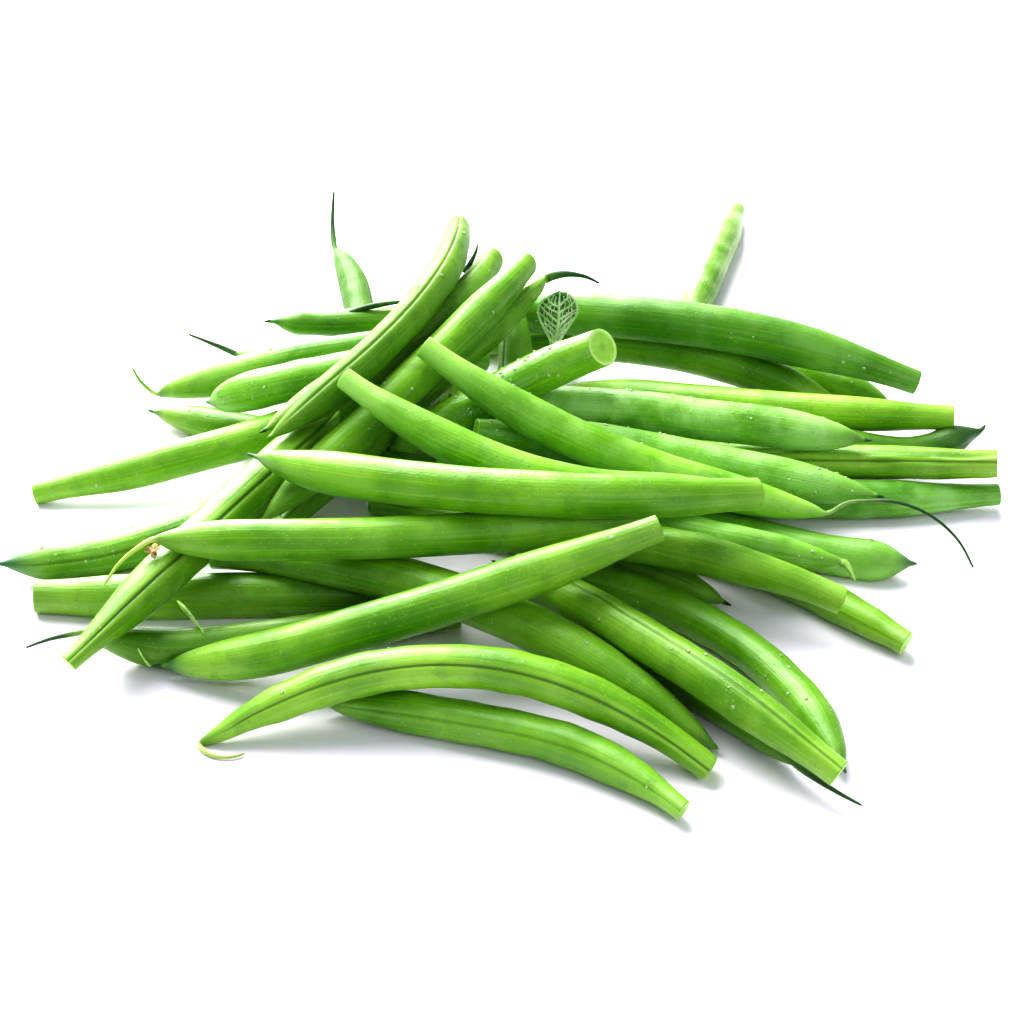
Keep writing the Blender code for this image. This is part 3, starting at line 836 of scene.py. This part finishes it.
small_piece("leaf_veins", veins,
            plain_paint("leaf_ribs", (0.66, 0.84, 0.50), (0.86, 0.96, 0.72), 500.0, 0.5))

# a dried flower caught at the point of one bean, and a pale one in the sheaf
PETAL_ROWS = 6
PETAL_COLUMNS = (-1.0, -0.5, 0.0, 0.5, 1.0)
PETAL_THICK = 0.00016
rng = random.Random(3)


def crumple(name, place, size, petals, first, second):
    """A few dry, crumpled petals round a place."""
    bm = bmesh.new()
    rows_end = PETAL_ROWS - 1
    columns_end = len(PETAL_COLUMNS) - 1
    for _ in range(petals):
        way = Vector((rng.uniform(-1, 1), rng.uniform(-1, 1), rng.uniform(-0.7, 0.7))).normalized()
        turn = way.to_track_quat("X", "Z").to_matrix()
        long = size * rng.uniform(0.6, 1.0)
        rows = []
        for i in range(PETAL_ROWS):
            s = i / rows_end
            wide = long * 0.34 * math.sin(math.pi * (0.12 + 0.76 * s))
            row = []
            for t in PETAL_COLUMNS:
                dent = long * 0.13 * math.sin(5.0 * s + 4.0 * t + long * 9e3)
                row.append(place + turn @ Vector((long * s, wide * t, dent)))
            rows.append(row)
        thick = turn @ Vector((0.0, 0.0, PETAL_THICK))
        front = [[bm.verts.new(q) for q in row] for row in rows]
        rear = [[bm.verts.new(q - thick) for q in row] for row in rows]
        for i in range(rows_end):
            for j in range(columns_end):
                bm.faces.new((front[i][j], front[i][j + 1], front[i + 1][j + 1], front[i + 1][j]))
                bm.faces.new((rear[i][j + 1], rear[i][j], rear[i + 1][j], rear[i + 1][j + 1]))
            bm.faces.new((rear[i][0], front[i][0], front[i + 1][0], rear[i + 1][0]))
            bm.faces.new((front[i][-1], rear[i][-1], rear[i + 1][-1], front[i + 1][-1]))
        for j in range(columns_end):
            bm.faces.new((front[0][j + 1], front[0][j], rear[0][j], rear[0][j + 1]))
            bm.faces.new((front[-1][j], front[-1][j + 1], rear[-1][j + 1], rear[-1][j]))
    small_piece(name, bm, plain_paint(name + "_paint", first, second, 700.0, 0.75))


HEAP = Vector((0.001138, -0.025553, -0.0006))  # the heap's middle on the table, from which spots are measured


def spot(x, y, z):
    """A place in the heap, in mm from its middle."""
    return HEAP + Vector((x, y, z)) * MM


crumple("dry_flower", tips["top_front"][0] + Vector((-0.0002, -0.0016, -0.0016)), 0.0024, 7,
        (0.40, 0.22, 0.07), (0.82, 0.66, 0.36))
crumple("dry_flower_scrap", spot(-14.0, 57.5, 33.0), 0.0028, 6, (0.46, 0.66, 0.36), (0.74, 0.84, 0.62))

scraps = bmesh.new()
rope(scraps,
     [spot(-45.5, 82.0, 12.6), spot(-41.0, 82.5, 14.4), spot(-35.0, 83.0, 16.0), spot(-27.0, 84.0, 16.6)],
     [0.0009, 0.0008, 0.0008, 0.0004])
rope(scraps,
     [spot(-12.0, 76.5, 29.5), spot(-10.6, 77.0, 32.0), spot(-9.2, 77.5, 35.0), spot(-8.8, 78.0, 37.0)],
     [0.0009, 0.0007, 0.0004, 0.0002])
small_piece("dark_tail_ends", scraps,
            plain_paint("dark_tail", (0.02, 0.07, 0.012), (0.06, 0.17, 0.03), 400.0, 0.45))

fibres = bmesh.new()
rope(fibres,
     [spot(-77.0, -32.0, 6.2), spot(-75.0, -36.5, 7.6), spot(-72.3, -42.0, 8.6), spot(-69.2, -48.0, 8.8)],
     [0.0002, 0.0006, 0.0005, 0.0001])
end = tips["front_diagonal"][1]
rope(fibres, [end, end + Vector((-0.0012, 0.0004, 0.0012)), end + Vector((-0.0026, 0.0006, 0.0046))],
     [0.0003, 0.00024, 0.00016])
small_piece("green_fibres", fibres,
            plain_paint("fibre_green", (0.30, 0.60, 0.05), (0.56, 0.80, 0.24), 420.0, 0.45))


# ---------------------------------------------------------------- room, light and camera

LIT = Vector((0.0, 0.0, 0.02))                 # what the lamps are turned to
FLOOR_HALF = 6.0
TILT = math.radians(35.0)                      # how far the camera looks down
AWAY = 0.7                                     # the camera's distance from what it is turned to
FRAMED = Vector((0.00114, -0.02555, 0.0114))
FRAMED_LOWER = 0.00285


def soft_light(name, place, size, power, colour):
    data = bpy.data.lights.new(name, "AREA")
    data.shape = "DISK"
    data.size = size
    data.energy = power
    data.color = colour
    lamp = bpy.data.objects.new(name, data)
    lamp.location = place
    lamp.rotation_mode = "QUATERNION"
    lamp.rotation_quaternion = (LIT - Vector(place)).to_track_quat("-Z", "Y")
    bpy.context.scene.collection.objects.link(lamp)


mesh = bpy.data.meshes.new("floor")
mesh.from_pydata([(x * FLOOR_HALF, y * FLOOR_HALF, 0) for x, y in ((-1, -1), (1, -1), (1, 1), (-1, 1))],
                 [], [(0, 1, 2, 3)])
floor = bpy.data.objects.new("floor", mesh)
bpy.context.scene.collection.objects.link(floor)
table = Paint("white_table")
table.set(Base_Color=(0.97, 0.90, 1.0, 1.0), Roughness=0.6)
mesh.materials.append(table.material)

world = bpy.data.worlds.new("studio")
bpy.context.scene.world = world
world.use_nodes = True
world.node_tree.nodes["Background"].inputs["Color"].default_value = (0.84, 0.88, 1.0, 1.0)
world.node_tree.nodes["Background"].inputs["Strength"].default_value = 0.46
soft_light("key", (-0.55, 0.75, 1.25), 1.5, 35.0, (1.0, 0.995, 0.98))
soft_light("back", (-0.5, 1.7, 0.8), 1.4, 50.0, (1.0, 1.0, 1.0))
soft_light("fill", (0.6, -1.0, 0.9), 1.0, 3.0, (1.0, 1.0, 0.98))

camera_data = bpy.data.cameras.new("camera")
camera_data.lens = 103.7
camera_data.sensor_width = 36.0
camera_data.clip_start = 0.05
camera_data.clip_end = 30.0
camera = bpy.data.objects.new("camera", camera_data)
bpy.context.scene.collection.objects.link(camera)
bpy.context.scene.camera = camera
aim = FRAMED - FRAMED_LOWER * Vector((0.0, math.sin(TILT), math.cos(TILT)))
camera.location = aim + AWAY * Vector((0.0, -math.cos(TILT), math.sin(TILT)))
camera.rotation_mode = "QUATERNION"
camera.rotation_quaternion = (aim - camera.location).to_track_quat("-Z", "Y")
bpy.context.scene.view_settings.view_transform = "Standard"
bpy.context.scene.view_settings.look = "High Contrast"
